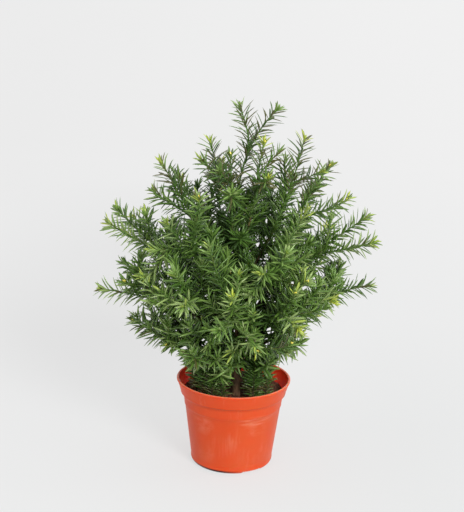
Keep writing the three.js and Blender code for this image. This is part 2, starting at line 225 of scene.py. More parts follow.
# How far needles end from the pot and the soil
OVER_LIP = 1
PAST_LIP = 3
OFF_WALL = 2
OVER_SOIL = 2.5

# How far needles keep from a shoot's foot and tip
FIRST_NEEDLE = 1.5
LAST_NEEDLE = 3
TUFT_DEPTH = (2, 4)

# Needles' angles by chance, and how they open and lengthen on shoots from the soil
ANGLE_VARIES = 30
SPREAD_VARIES = 22
TWIST_VARIES = 60
RISING_SPREAD = 76
RISING_OPENS = (SOIL_LEVEL, 40)
RISING_LENGTH = 0.72
RISING_GROWS = (SOIL_LEVEL, 80)
RISING_WIDTH = 1.1
TUFT_LENGTH = 0.6
TUFT_CLOSING = 1.5
FOOT_LENGTH = 0.72
FOOT_GAIN = 0.1
FOOT_STEP = 4

# Sizes that vary: the least, and how much more by chance
LENGTH_VARIES = (0.8, 0.4)
WIDTH_VARIES = (0.8, 0.35)
SHOOT_WIDTH_VARIES = (0.92, 0.3)
THICKNESS_VARIES = (0.6, 0.8)
TUFT_VARIES = (0.7, 0.7)
FINE_LENGTH_VARIES = (0.75, 0.5)
INNER_WIDTH = 1.1
AIRY_WIDTH = 0.87

# How much light a needle's tip gets, which darkens its green as painted shade: out in the crown, high
# up, less low down
LIT_FROM = 225
LIT_RISE = 130
SHADED = 0.7
OUT_OF_SHADE = (110, 110)
RISING_LIT = 0.65
RISING_LIT_BELOW = 125
LIT_RANGE = (0.2, 0.6)

# One row for each limb: name, height on the trunk, then azimuth, reach and height of the
# main tip with its pitch, and azimuth, reach and height of the forked tip.
LIMBS = (
    ("leader", TRUNK_TOP.z, 9, 39, 382, 42, 241, 6, 385),
    ("top_left", 214, 173, 33, 350, 70, 118, 46, 318),
    ("top_front", 222, 249, 30, 342, 75, 262, 59, 308),
    ("top_right", 230, 320, 31, 355, 75, 300, 56, 322),
    ("crown_right", 192, 353, 65, 360, 80, 36, 58, 325),
    ("high_right", 168, 5, 95, 328, 55, 349, 112, 297),
    ("mid_right", 146, 5, 138, 273, 35, 353, 142, 252),
    ("low_right", 122, 1, 144, 200, 12, 345, 104, 190),
    ("back_base_right", 104, 29, 103, 150, 25, 8, 56, 122),
    ("high_left", 152, 173, 131, 274, 50, 185, 136, 264),
    ("low_left", 124, 183, 146, 190, 8, 168, 126, 209),
    ("upper_left", 188, 184, 82, 329, 62, 165, 94, 290),
    ("base_left", 103, 184, 111, 159, 40, 207, 80, 141),
    ("front_low", 112, 280, 98, 198, 58, 286, 82, 152),
    ("front_mid_left", 134, 238, 116, 238, 55, 222, 114, 200),
    ("front_centre", 126, 268, 122, 223, 60, 254, 104, 266),
    ("front_mid_right", 131, 299, 118, 224, 60, 320, 118, 200),
    ("front_high_right", 160, 295, 112, 263, 55, 314, 96, 296),
    ("front_upper_left", 174, 218, 92, 278, 58, 240, 80, 306),
    ("back_high_right", 178, 52, 94, 302, 45, 74, 98, 276),
    ("back_high_left", 170, 132, 96, 292, 45, 104, 84, 310),
    ("back_mid_right", 138, 40, 132, 240, 25, 60, 128, 218),
    ("back_mid", 150, 88, 130, 246, 30, 104, 126, 216),
    ("back_mid_left", 136, 142, 134, 236, 25, 156, 126, 254),
    ("back_base", 108, 74, 116, 174, 20, 52, 112, 160),
    ("back_base_left", 110, 122, 118, 172, 20, 148, 116, 164),
    ("stem_right", 0, 312, 58, 186, 62, 334, 76, 155),
    ("stem_left", 0, 236, 62, 172, 60, 237, 80, 133),
)

# Limbs whose tips show little new growth
DULL_TIPS = ("leader", "low_left")

# Low shoots straight from the soil: azimuth and distance of the foot, azimuth, reach and
# height of the tip.
SUCKERS = (
    (323, 43, 326, 46, 158),
    (300, 41, 303, 46, 146),
    (312, 34, 310, 40, 170),
    (222, 43, 218, 48, 148),
    (240, 44, 238, 46, 140),
    (253, 40, 246, 46, 150),
    (200, 26, 204, 34, 156),
    (194, 40, 190, 50, 136),
    (188, 34, 188, 74, 182),
    (14, 34, 10, 62, 178),
    (100, 24, 100, 46, 140),
    (45, 24, 45, 46, 136),
)


# Small helpers

def chance(seed):
    """A repeatable number from 0 to 1 for a whole-number seed."""
    wave = math.sin(seed * 12.9898) * 43758.5453
    return wave - math.floor(wave)


def aim(azimuth, pitch):
    azimuth, pitch = math.radians(azimuth), math.radians(pitch)
    flat = math.cos(pitch)
    return Vector((flat * math.cos(azimuth), flat * math.sin(azimuth), math.sin(pitch)))


def place(azimuth, reach, height):
    spot = aim(azimuth, 0) * reach
    spot.z = height
    return spot


def blend(low, high, share):
    return low + (high - low) * share


def clamped(value):
    return min(1, max(0, value))


def ramp(value, start, span):
    """0 up to start, 1 from start + span on, and even between them."""
    return clamped((value - start) / span)


def varies(sizes, seed):
    least, more = sizes
    return least + more * chance(seed)


def steps(count):
    return [n / count for n in range(count + 1)]


def soil_height(x, y):
    out = math.hypot(x, y) / SOIL_RADIUS
    return SOIL_LEVEL + SOIL_MOUND * (1 - out * out)


def stand_on_soil(x, y):
    return Vector((x, y, soil_height(x, y) + SEAT_GAP))


TRUNK_FOOT = stand_on_soil(3, -20)
TRUNK_BEND = Vector((4.5, -9, (TRUNK_FOOT.z + TRUNK_TOP.z) / 2))


# Where the limbs run

class Sweep:
    """A cubic curve that leaves its foot in one direction and arrives at its tip in another."""

    def __init__(self, foot, leaving, tip, arriving):
        bend = BEND * (tip - foot).length
        self.hold = (foot, foot + leaving * bend, tip - arriving * bend, tip)

    def point(self, share):
        a, b, c, d = self.hold
        rest = 1 - share
        return (a * rest ** 3 + b * (3 * rest * rest * share)
                + c * (3 * rest * share * share) + d * share ** 3)

    def tangent(self, share):
        a, b, c, d = self.hold
        rest = 1 - share
        slope = ((b - a) * (rest * rest) + (c - b) * (2 * rest * share)
                 + (d - c) * (share * share))
        return slope.normalized()

    def line(self, start=0.0, end=1.0, count=LINE_STEPS):
        return [self.point(blend(start, end, share)) for share in steps(count)]


class Trunk:
    """The trunk's line, asked in the same way as a sweep."""

    def point(self, share):
        return trunk_at(blend(TRUNK_FOOT.z, TRUNK_TOP.z, share))

    def tangent(self, share):
        return (self.point(share + 0.01) - self.point(share - 0.01)).normalized()


def trunk_at(height):
    share = (height - TRUNK_FOOT.z) / (TRUNK_TOP.z - TRUNK_FOOT.z)
    rest = 1 - share
    return (TRUNK_FOOT * rest * rest + TRUNK_BEND * (2 * rest * share)
            + TRUNK_TOP * share * share)


def trunk_radius(height):
    rise = height - TRUNK_FOOT.z
    share = rise / (TRUNK_TOP.z - TRUNK_FOOT.z)
    taper = blend(TRUNK_FOOT_RADIUS, TRUNK_TOP_RADIUS, share)
    return taper + FLARE * max(0, 1 - rise / FLARE_HEIGHT) ** 2


def crown_radius(height):
    if height < CROWN_WAIST:
        share = (height - CROWN_NECK) / (CROWN_WAIST - CROWN_NECK)
        return blend(CROWN_NECK_RADIUS, CROWN_RADIUS, share)
    share = (height - CROWN_WAIST) / CROWN_DOME
    return CROWN_RADIUS * (1 - share * share)


def camera_axes():
    """The camera's own right, top and back."""
    elevation, roll = math.radians(CAMERA_ELEVATION), math.radians(CAMERA_ROLL)
    back = Vector((0, -math.cos(elevation), math.sin(elevation)))
    across = Vector((1, 0, 0))
    upward = back.cross(across)
    right = across * math.cos(roll) + upward * math.sin(roll)
    top = upward * math.cos(roll) - across * math.sin(roll)
    return right, top, back


RIGHT, TOP, BACK = camera_axes()
EYE = AIMED_AT + BACK * CAMERA_DISTANCE


def in_picture(point):
    """The pixel at which the camera sees a point."""
    offset = point - EYE
    scale = -FOCUS / offset.dot(BACK)
    width, height = PICTURE
    return np.array((width / 2 + scale * offset.dot(RIGHT), height / 2 - scale * offset.dot(TOP)))


GAP_PLACES = np.array([(across, down) for _, across, down, _ in GAPS], dtype=float)
GAP_REACH = np.array([half for _, _, _, half in GAPS]) + GAP_MARGIN


def closes_gap(start, end):
    """Whether a needle would cover one of the named gaps between the sprays."""
    first = in_picture(start)
    run = in_picture(end) - first
    share = np.clip((GAP_PLACES - first) @ run / run.dot(run), 0, 1)
    nearest = first + share[:, None] * run
    return bool((np.hypot(*(GAP_PLACES - nearest).T) < GAP_REACH).any())


def inside_crown(point):
    return math.hypot(point.x, point.y) < crown_radius(point.z)


def inside_core(point):
    """Whether a finer twig may end here: inside the core, and out of the cleft in its front."""
    (near_x, far_x), deepest, (foot, top) = CLEFT
    if near_x < point.x < far_x and point.y < deepest and foot < point.z < top:
        return False
    heights, radii = zip(*CORE)
    return math.hypot(point.x - CORE_SHIFT, point.y) < np.interp(point.z, heights, radii)


def over_pot(point):
    if math.hypot(point.x, point.y) < SOIL_RADIUS:
        return point.z > SOIL_LEVEL + SOIL_CLEARANCE
    return point.z > POT_HEIGHT + LIP_CLEARANCE


def clear_of_pot(point):
    """Whether a needle may end here, clear of the lip, the wall and the soil."""
    out = math.hypot(point.x, point.y)
    over_lip = point.z > POT_HEIGHT + OVER_LIP
    if out > LIP_RADIUS:
        return over_lip or out > LIP_RADIUS + PAST_LIP
    over_soil = out < SOIL_RADIUS - OFF_WALL and point.z > SOIL_LEVEL + OVER_SOIL
    return over_soil or over_lip


class Crowd:
    """Every line drawn so far, to tell how much room a new one has."""

    def __init__(self):
        self.starts = np.zeros((0, 3))
        self.ends = np.zeros((0, 3))

    def add(self, line):
        points = np.array([tuple(point) for point in line])
        self.starts = np.vstack((self.starts, points[:-1]))
        self.ends = np.vstack((self.ends, points[1:]))

    def room(self, point):
        along = self.ends - self.starts
        away = np.array(point) - self.starts
        share = (away * along).sum(1) / np.maximum((along * along).sum(1), 1e-9)
        nearest = away - along * np.clip(share, 0, 1)[:, None]
        return math.sqrt((nearest * nearest).sum(1).min())


class Shoot:
    """One needle-covered shoot: its line, its thickness and the spray that it belongs to."""

    def __init__(self, line, radii, seed, fresh=FRESH_DULL, bare=0.0):
        self.line = line
        self.radii = radii
        self.seed = seed
        self.fresh = fresh
        self.bare = bare
        self.rising = line[0].z < SOIL_LEVEL + SOIL_CLEARANCE


def limb_sweep(row):
    _, height, azimuth, reach, tip_height, pitch = row[:6]
    foot = trunk_at(height)
    leaving = aim(azimuth, BOUGH_RISE)
    if height == 0:
        stand = place(azimuth, STEM_SPREAD, 0)
        foot = stand_on_soil(stand.x, stand.y)
        leaving = UP
    if height == TRUNK_TOP.z:
        foot = TRUNK_TOP
        leaving = UP
    return Sweep(foot, leaving, place(azimuth, reach, tip_height), aim(azimuth, pitch))


def fork_sweep(row, whole):
    tip = place(*row[6:9])
    joint = whole.point(FORK_AT)
    arriving = ((tip - joint).normalized() + aim(row[6], row[5])).normalized()
    return Sweep(joint, whole.tangent(FORK_AT), tip, arriving)


def side_sweep(crowd, joint, along, length, seed, fine=False):
    """A shoot to the side that has the most room, or None where all sides are crowded."""
    choices, spacing, inside = SIDE_CHOICES, SHOOT_SPACING, inside_crown
    if fine:
        choices, spacing, inside = FINE_CHOICES, FINE_SPACING, inside_core
    best, best_score = None, 0
    across = along.cross(UP).normalized()
    for choice in range(choices):
        spin = 2 * math.pi * (choice + chance(seed)) / choices
        axis = Matrix.Rotation(spin, 3, along) @ across
        out = Matrix.Rotation(math.radians(SIDE_ANGLE), 3, axis) @ along
        tip = joint + out * length
        room = crowd.room(tip)
        needed, score, arriving = spacing, room, out
        if fine:
            needed *= LOW_FINE_SPACING if tip.z < LOW_FINE_HEIGHT else 1
            score += UPRIGHT * out.z
            arriving = (out + UP * LIFT).normalized()
        if room > needed and score > best_score and inside(tip) and over_pot(tip):
            best, best_score = Sweep(joint, out, tip, arriving), score
    return best


class Limb:
    """A bough, a stem or the leader: its main, forked and side sweeps."""

    def __init__(self, row, crowd):
        self.name, self.height = row[:2]
        self.whole = limb_sweep(row)
        self.fork = fork_sweep(row, self.whole)
        self.side = None
        crowd.add(self.whole.line())
        crowd.add(self.fork.line())

    def add_side(self, crowd, seed):
        joint, along = self.whole.point(SIDE_AT), self.whole.tangent(SIDE_AT)
        self.side = side_sweep(crowd, joint, along, SIDE_LENGTH, seed)
        if self.side:
            crowd.add(self.side.line())

    def freshness(self):
        if self.name in DULL_TIPS:
            return FRESH_DULL
        return FRESH_FRONT if self.name.startswith("front") else FRESH

    def shoots(self, seed):
        fresh = self.freshness()
        bare = BARE_SHARE if self.height else 0.0
        main = Shoot(self.whole.line(0, TIP_SHARE, MAIN_STEPS), MAIN_RADII, seed, fresh, bare)
        fork = Shoot(self.fork.line(0, TIP_SHARE, FORK_STEPS), FORK_RADII, seed + FORK_SEED, fresh)
        if not self.side:
            return [main, fork]
        return [main, fork, Shoot(self.side.line(), SIDE_RADII, seed + SIDE_SEED, FRESH_FRONT)]

    def carriers(self):
        """Its lines, each with the shares at which finer twigs leave it."""
        on_whole = FINE_ON_LIMB[::2] if self.name.startswith("back") else FINE_ON_LIMB
        carriers = [(self.whole, on_whole), (self.fork, FINE_ON_FORK)]
        return carriers + ([(self.side, FINE_ON_SIDE)] if self.side else [])


def trunk_line(foot):
    return [trunk_at(blend(foot, TRUNK_TOP.z, share)) for share in steps(LINE_STEPS)]


def sucker_shoots(crowd):
    shoots = []
    for number, (azimuth, spread, *tip) in enumerate(SUCKERS):
        stand = place(azimuth, spread, 0)
        arriving = aim(tip[0], SUCKER_PITCH)
        sucker = Sweep(stand_on_soil(stand.x, stand.y), UP, place(*tip), arriving)
        crowd.add(sucker.line())
        shoots.append(Shoot(sucker.line(count=FORK_STEPS), FORK_RADII, SUCKER_SEED + number))
    return shoots


def fine_shoots(crowd, limbs):
    """Finer twigs along every limb and then the trunk, wherever there is room."""
    shoots = []
    families = [limb.carriers() for limb in limbs] + [[(Trunk(), FINE_ON_TRUNK)]]
    for number, carriers in enumerate(families):
        for part, (carrier, shares) in enumerate(carriers):
            for order, share in enumerate(shares):
                seed = LIMB_SEEDS * number + FINE_SEED + CARRIER_SEEDS * part + order
                length = FINE_LENGTH * varies(FINE_LENGTH_VARIES, seed)
                joint, along = carrier.point(share), carrier.tangent(share)
                fine = side_sweep(crowd, joint, along, length, seed, fine=True)
                if fine:
                    crowd.add(fine.line())
                    shoots.append(Shoot(fine.line(count=FINE_STEPS), FINE_RADII, seed))
    return shoots


def grow_plant():
    """The limbs and every shoot, main ones first and the finer twigs after them."""
    crowd = Crowd()
    crowd.add(trunk_line(TRUNK_FOOT.z))
    limbs = [Limb(row, crowd) for row in LIMBS]
    for number, limb in enumerate(limbs):
        limb.add_side(crowd, number)
    shoots = []
    for number, limb in enumerate(limbs):
        shoots += limb.shoots(LIMB_SEEDS * number)
    shoots += sucker_shoots(crowd)
    shoots.append(Shoot(trunk_line(TRUNK_FOLIAGE), TOP_RADII, TOP_SEED))
    return limbs, shoots + fine_shoots(crowd, limbs)


# Nodes, for geometry and for materials alike

def put_node(tree, kind, settings=None, values=None):
    """A node of a kind, its settings first and then the values or links of its sockets."""
    node = tree.nodes.new(kind)
    for name, value in (settings or {}).items():
        if name == "stops":
            ramp = node.color_ramp.elements
            while len(ramp) < len(value):
                ramp.new(1)
            for stop, (position, colour) in zip(ramp, value):
                stop.position = position
                stop.color = (*colour, 1)
        else:
            setattr(node, name, value)
    for name, value in (values or {}).items():
        socket = node.inputs[name]
        if isinstance(value, Wire):
            value = value.socket
        if isinstance(value, bpy.types.NodeSocket):
            tree.links.new(value, socket)
        elif isinstance(socket.default_value, float) or isinstance(value, (bool, int, str)):
            socket.default_value = value
        else:
            size = len(socket.default_value)
            socket.default_value = (*value, 1) if len(value) < size else value
    return node


class Wire:
    """A number socket of a material, whose arithmetic adds Math nodes."""

    def __init__(self, tree, socket):
        self.tree = tree
        self.socket = socket

    def math(self, operation, *others, clamp=False):
        settings = {"operation": operation, "use_clamp": clamp}
        node = put_node(self.tree, "ShaderNodeMath", settings, dict(enumerate(others)))
        return Wire(self.tree, node.outputs[0])

    def __add__(self, other):
        return self.math("ADD", self, other)

    def __radd__(self, other):
        return self.math("ADD", other, self)

    def __sub__(self, other):
        return self.math("SUBTRACT", self, other)

    def __rsub__(self, other):
        return self.math("SUBTRACT", other, self)

    def __mul__(self, other):
        return self.math("MULTIPLY", self, other)

    def __rmul__(self, other):
        return self.math("MULTIPLY", other, self)

    def clamped(self):
        return self.math("ADD", self, 0.0, clamp=True)


class Finish:
    """A material on the Principled shader, with the few textures that its surfaces need."""

    def __init__(self, name, roughness, specular=0.5):
        self.material = bpy.data.materials.new(name)
        self.material.use_nodes = True
        self.tree = self.material.node_tree
        self.shader = self.tree.nodes["Principled BSDF"]
        self.shader.inputs["Roughness"].default_value = roughness
        self.shader.inputs["Specular IOR Level"].default_value = specular
        coordinates = put_node(self.tree, "ShaderNodeTexCoord")
        self.here = coordinates.outputs["Object"]

    def stretched(self, scale):
        """Object coordinates, scaled apart along X, Y and Z."""
        values = {"Vector": self.here, "Scale": scale}
        return put_node(self.tree, "ShaderNodeMapping", {}, values).outputs[0]

    def noise(self, scale, detail=3.0, roughness=0.5, stretch=None):
        where = self.stretched(stretch) if stretch else self.here
        values = {"Vector": where, "Scale": scale, "Detail": detail, "Roughness": roughness}
        node = put_node(self.tree, "ShaderNodeTexNoise", {}, values)
        return Wire(self.tree, node.outputs[0])

    def axis(self, name):
        """One of the object's coordinates, in metres."""
        node = put_node(self.tree, "ShaderNodeSeparateXYZ", {}, {0: self.here})
        return Wire(self.tree, node.outputs[name])

    def band(self, wire, low, high, soft=False):
        """0 below low, 1 above high and a ramp between them."""
        settings = {"clamp": True}
        if soft:
            settings["interpolation_type"] = "SMOOTHSTEP"
        values = {0: wire, 1: low, 2: high}
        node = put_node(self.tree, "ShaderNodeMapRange", settings, values)
        return Wire(self.tree, node.outputs[0])

    def mix(self, share, first, second):
        """A blend of two colours, each a colour or a socket."""
        values = {0: share, 6: first, 7: second}
        node = put_node(self.tree, "ShaderNodeMix", {"data_type": "RGBA"}, values)
        return node.outputs[2]

    def colour(self, socket):
        self.tree.links.new(socket, self.shader.inputs["Base Color"])

    def gloss(self, wire):
        self.tree.links.new(wire.socket, self.shader.inputs["Roughness"])

    def relief(self, wire, depth, strength=1.0):
        """A bump whose full range of heights is depth metres."""
        values = {"Height": wire, "Distance": depth, "Strength": strength}
        bump = put_node(self.tree, "ShaderNodeBump", {}, values)
        self.tree.links.new(bump.outputs[0], self.shader.inputs["Normal"])


def srgb(red, green, blue):
    """A colour as it looks on a screen, from 0 to 255, turned into light."""
    def light(value):
        value /= 255
        return value / 12.92 if value <= 0.04045 else ((value + 0.055) / 1.055) ** 2.4
    return (light(red), light(green), light(blue))


class Recipe:
    """A tree of geometry nodes with named inputs, which turns a carrier mesh into a piece."""

    def __init__(self, name, sizes):
        self.tree = bpy.data.node_groups.new(name, "GeometryNodeTree")
        self.sizes = sizes
        face = self.tree.interface
        face.new_socket("Geometry", in_out="INPUT", socket_type="NodeSocketGeometry")
        face.new_socket("Geometry", in_out="OUTPUT", socket_type="NodeSocketGeometry")
        face.new_socket("Finish", in_out="INPUT", socket_type="NodeSocketMaterial")
        for size, value in sizes.items():
            kind = "NodeSocketInt" if isinstance(value, int) else "NodeSocketFloat"
            face.new_socket(size, in_out="INPUT", socket_type=kind)
        self.given = self.tree.nodes.new("NodeGroupInput").outputs

    def add(self, kind, settings=None, values=None, output=0):
        return put_node(self.tree, kind, settings, values).outputs[output]

    def math(self, operation, *values):
        return self.add("ShaderNodeMath", {"operation": operation}, dict(enumerate(values)))

    def vector(self, x, y, z):
        return self.add("ShaderNodeCombineXYZ", {}, {0: x, 1: y, 2: z})

    def read(self, name, kind):
        return self.add("GeometryNodeInputNamedAttribute", {"data_type": kind}, {"Name": name})

    def finish(self, geometry):
        """Realizes what is left as instances and gives it its material."""
        real = self.add("GeometryNodeRealizeInstances", {}, {0: geometry})
        values = {"Geometry": real, "Material": self.given["Finish"]}
        done = self.add("GeometryNodeSetMaterial", {}, values)
        out = self.tree.nodes.new("NodeGroupOutput")
        self.tree.links.new(done, out.inputs[0])

    def make(self, name, carrier, finish):
        """Runs the tree on a carrier mesh and keeps the result as a plain mesh."""
        holder = add_piece(name + "_carrier", carrier)
        modifier = holder.modifiers.new("recipe", "NODES")
        modifier.node_group = self.tree
        values = {**self.sizes, "Finish": finish.material}
        for item in self.tree.interface.items_tree:
            if item.in_out == "INPUT" and item.name in values:
                modifier[item.identifier] = values[item.name]
        depsgraph = bpy.context.evaluated_depsgraph_get()
        mesh = bpy.data.meshes.new_from_object(holder.evaluated_get(depsgraph))
        bpy.data.objects.remove(holder)
        return add_piece(name, mesh)


def stand_on_points(recipe, shape, points):
    """One shape on each point, turned and sized by the carrier's attributes."""
    turn = recipe.read("turn", "FLOAT_VECTOR")
    return recipe.add("GeometryNodeInstanceOnPoints", {}, {
        "Points": points,
        "Instance": shape,
        "Rotation": recipe.add("FunctionNodeEulerToRotation", {}, {0: turn}),
        "Scale": recipe.read("size", "FLOAT_VECTOR"),
    })


def shell_mesh(shell, name):
    """A finished shell as a smooth mesh."""
    for face in shell.faces:
        face.smooth = True
    mesh = bpy.data.meshes.new(name)
    shell.to_mesh(mesh)
    shell.free()
    return mesh


def add_piece(name, data):
    """A mesh, lamp or lens as an object of the scene."""
    data.name = name
    piece = bpy.data.objects.new(name, data)
    bpy.context.scene.collection.objects.link(piece)
    return piece


def seat(piece, slot, *nodes):
    """The calls that every finished piece gets."""
    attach(piece, "root")
    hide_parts(*nodes)


# Needles

def needle_recipe():
    """Slim curved needles of four sides, one at each point of the carrier."""
    sizes = {
        "Length": NEEDLE_LENGTH * MM,
        "Width": NEEDLE_WIDTH * MM,
        "Thickness": NEEDLE_THICKNESS * MM,
        "Curl": NEEDLE_CURL * MM,
        "Bends": 4,
    }
    recipe = Recipe("needles", sizes)
    given = recipe.given
    half = recipe.math("MULTIPLY", given["Length"], 0.5)
    middle = recipe.vector(0.0, given["Curl"], half)
    spine = recipe.add("GeometryNodeCurveQuadraticBezier", {}, {
        "Resolution": given["Bends"],
        "Start": (0, 0, 0),
        "Middle": middle,
        "End": recipe.vector(0.0, 0.0, given["Length"]),
    })
    share = recipe.add("GeometryNodeSplineParameter", {}, {})
    outline = recipe.add("ShaderNodeFloatCurve", {}, {"Value": share})
    shape = outline.node.mapping.curves[0].points
    shape[0].location = (0, 0.5)
    shape[1].location = (1, 0.1)
    for share_along, width in ((0.15, 0.9), (0.5, 1), (0.85, 0.82)):
        shape.new(share_along, width)
    outline.node.mapping.update()
    ring = recipe.add("GeometryNodeCurvePrimitiveCircle", {}, {"Resolution": 4, "Radius": 0.5})
    scale = recipe.vector(given["Width"], given["Thickness"], 1.0)
    ring = recipe.add("GeometryNodeTransform", {}, {"Geometry": ring, "Scale": scale})
    blade = recipe.add("GeometryNodeCurveToMesh", {}, {
        "Curve": spine, "Profile Curve": ring, "Scale": outline, "Fill Caps": True,
    })
    recipe.finish(stand_on_points(recipe, blade, given["Geometry"]))
    return recipe


def points_mesh(name, points, **attributes):
    mesh = bpy.data.meshes.new(name)
    mesh.from_pydata([tuple(point * MM) for point in points], [], [])
    for key, values in attributes.items():
        store = mesh.attributes.new(key, "FLOAT_VECTOR", "POINT")
        store.data.foreach_set("vector", np.array(values, dtype=np.float32).ravel())
    return mesh


class Walk:
    """Steps along a line at even distances, with a frame that doesn't twist."""

    def __init__(self, line):
        self.line = line
        self.lengths = [(b - a).length for a, b in zip(line, line[1:])]
        self.total = sum(self.lengths)

    def at(self, distance):
        for (a, b), length in zip(zip(self.line, self.line[1:]), self.lengths):
            if distance <= length or b is self.line[-1]:
                return a.lerp(b, min(1, distance / length)), (b - a).normalized()
            distance -= length
        return self.line[-1], (self.line[-1] - self.line[-2]).normalized()


def outward_share(point):
    """How far out in the crown a point is: 0 at the trunk and 1 at the crown's outline."""
    widest = max(NARROWEST, crown_radius(min(point.z, CROWN_TIP)))
    return math.hypot(point.x, point.y) / widest


def airiness(point):
    """1 at the crown's rim and top, where needles are thin and far apart, and 0 inside."""
    (rim, depth), (height, rise) = AIRY_OUT, AIRY_UP
    outward = (outward_share(point) - rim) / depth
    return clamped(max(AIRY_RIM * outward, (point.z - height) / rise))


def needle_pitch(point, rising):
    pitch = NEEDLE_PITCH * blend(1, AIRY_PITCH, airiness(point))
    pitch *= blend(1, LOW_PITCH, ramp(point.z, *LOW_DOWN))
    if point.y > BACK_FROM and point.z < BACK_TOP:
        pitch *= BACK_PITCH
    return pitch * (RISING_PITCH if rising else 1)


def needle_places(shoot, walk):
    """Where along a shoot its needles stand, and then those that crowd at its tip."""
    distance = max(shoot.bare * walk.total, FIRST_NEEDLE)
    places = []
    while distance < walk.total - LAST_NEEDLE:
        places.append(distance)
        distance += needle_pitch(walk.at(distance)[0], shoot.rising)
    least, more = TUFT_DEPTH
    return places + [walk.total - least - more * chance(shoot.seed + n) for n in range(TUFT_NEEDLES)]


# Share of the airiest needles, away from the tips, that take the brown shade
BROWN_SHARE = 0.5

# Shades of green, from the dark old needles inside the crown, darker there partly as painted shade, to
# the lime tips
SHADES = {
    "needles_brown": (99, 101, 54),
    "needles_deep": (59, 89, 33),
    "needles_dark": (77, 111, 43),
    "needles_old": (97, 131, 54),
    "needles_mid": (121, 153, 74),
    "needles_light": (149, 173, 102),
    "needles_fresh": (168, 189, 82),
    "needles_lime": (190, 204, 78),
}
SHADE_NAMES = list(SHADES)

# Places along the shades: a needle inside, one outside, an airy one, and by shoot and needle
SHADE_INSIDE = 1.6
SHADE_OUTSIDE = 1.9
SHADE_AIRY = 1.9
SHADE_OF_SHOOT = 1.8
SHADE_OF_NEEDLE = 2.6
SHADE_OF_TIP = (2, 5.2)


def shade_of(shoot, left, outward, airy, roll):
    """Which green a needle has: older and darker inside, at the foot and on the airy rim, fresher
    outside and at the tip; darker inside and low down partly as painted shade.
    """
    tip = max(0, 1 - left / TUFT)
    airy *= 1 - tip
    if roll < BROWN_SHARE * airy:
        return SHADE_NAMES[0]
    # Painted shade along with age: needles out of the light get darker greens.
    shade = SHADE_INSIDE + SHADE_OUTSIDE * outward - SHADE_AIRY * airy
    shade += SHADE_OF_SHOOT * (chance(shoot.seed + 5) - 0.5) + SHADE_OF_NEEDLE * (roll - 0.5)
    newest = SHADE_OF_TIP[chance(shoot.seed + 9) > 0.5]
    shade += newest * outward * tip * shoot.fresh
    return SHADE_NAMES[int(min(len(SHADES) - 1, max(1, round(shade))))]


def needle_spread(point, late, rising, seed):
    """How far a needle opens from its shoot, in radians."""
    open_to = NEEDLE_SPREAD
    if rising:
        open_to = blend(RISING_SPREAD, NEEDLE_SPREAD, ramp(point.z, *RISING_OPENS))
    return math.radians(blend(open_to, TUFT_SPREAD, late) + SPREAD_VARIES * (chance(seed) - 0.5))


def needle_length(point, late, from_first, rising, seed):
    """A needle's share of its full length: shorter at the shoot's tip, foot and by the soil."""
    length = blend(1, TUFT_LENGTH, late) * varies(LENGTH_VARIES, seed)
    length *= min(1, FOOT_LENGTH + FOOT_GAIN * from_first / FOOT_STEP)
    if rising:
        length *= blend(RISING_LENGTH, 1, ramp(point.z, *RISING_GROWS))
    return length


def needle_width(shoot, airy, seed):
    width = blend(INNER_WIDTH, AIRY_WIDTH, airy) * varies(WIDTH_VARIES, seed)
    width *= varies(SHOOT_WIDTH_VARIES, shoot.seed + 6)
    return width * (RISING_WIDTH if shoot.rising else 1)


def needle_lean(point, along, normal, turns, wobble, spread, length, seed):
    """The way a needle points, turned aside from the pot and the gaps, or None."""
    stray = chance(seed) < GAP_STRAY
    for attempt in range(GAP_TRIES):
        round_shoot = GOLDEN_ANGLE * (turns + attempt * TURN_ASIDE) + ANGLE_VARIES * wobble
        outward = Matrix.Rotation(math.radians(round_shoot), 3, along) @ normal
        lean = along * math.cos(spread) + outward * math.sin(spread)
        end = point + lean * NEEDLE_LENGTH * length
        if clear_of_pot(end) and (stray or not closes_gap(point, end)):
            return lean
    return None


def needle_turn(along, lean, wobble):
    """The turn that stands a needle on its shoot, its face towards the shoot's tip."""
    face = (along - lean * along.dot(lean)).normalized()
    basis = Matrix((face.cross(lean), face, lean)).transposed()
    return tuple((basis @ Matrix.Rotation(math.radians(TWIST_VARIES * wobble), 3, "Z")).to_euler())


def needle_light(tip, rising):
    """How far out in the light a needle's tip is, from 0 to 1, which sets its painted shade."""
    reach = max(outward_share(tip), (tip.z - LIT_FROM) / LIT_RISE)
    reach *= blend(SHADED, 1, ramp(tip.z, *OUT_OF_SHADE))
    if rising and tip.z < RISING_LIT_BELOW:
        reach = RISING_LIT
    return ramp(reach, *LIT_RANGE)


def needle_fields(shoots):
    """Points, turns and sizes of every needle, dealt out by its shade."""
    fields = {name: ([], [], []) for name in SHADES}
    for shoot in shoots:
        walk = Walk(shoot.line)
        places = needle_places(shoot, walk)
        normal = walk.at(places[0])[1].orthogonal()
        for n, distance in enumerate(places):
            point, along = walk.at(distance)
            normal = (normal - along * normal.dot(along)).normalized()
            seed = shoot.seed * 7 + n * 3 + 1
            wobble = chance(seed) - 0.5
            left = walk.total - distance
            late = max(0, 1 - left / TUFT) ** TUFT_CLOSING
            if n >= len(places) - TUFT_NEEDLES:
                late = varies(TUFT_VARIES, shoot.seed + 2 * n)
            spread = needle_spread(point, late, shoot.rising, seed + 1)
            length = needle_length(point, late, distance - places[0], shoot.rising, seed + 2)
            lean = needle_lean(point, along, normal, n, wobble, spread, length, seed + 6)
            if lean is None:
                continue
            airy = airiness(point)
            # Painted shade: how much light the needle's tip gets helps pick its green.
            outward = needle_light(point + lean * NEEDLE_LENGTH, shoot.rising)
            name = shade_of(shoot, left, outward, airy, chance(seed + 3))
            points, turns, sizes = fields[name]
            points.append(point)
            turns.append(needle_turn(along, lean, wobble))
            thickness = varies(THICKNESS_VARIES, seed + 5)
            sizes.append((needle_width(shoot, airy, seed + 4), thickness, length))
    return fields


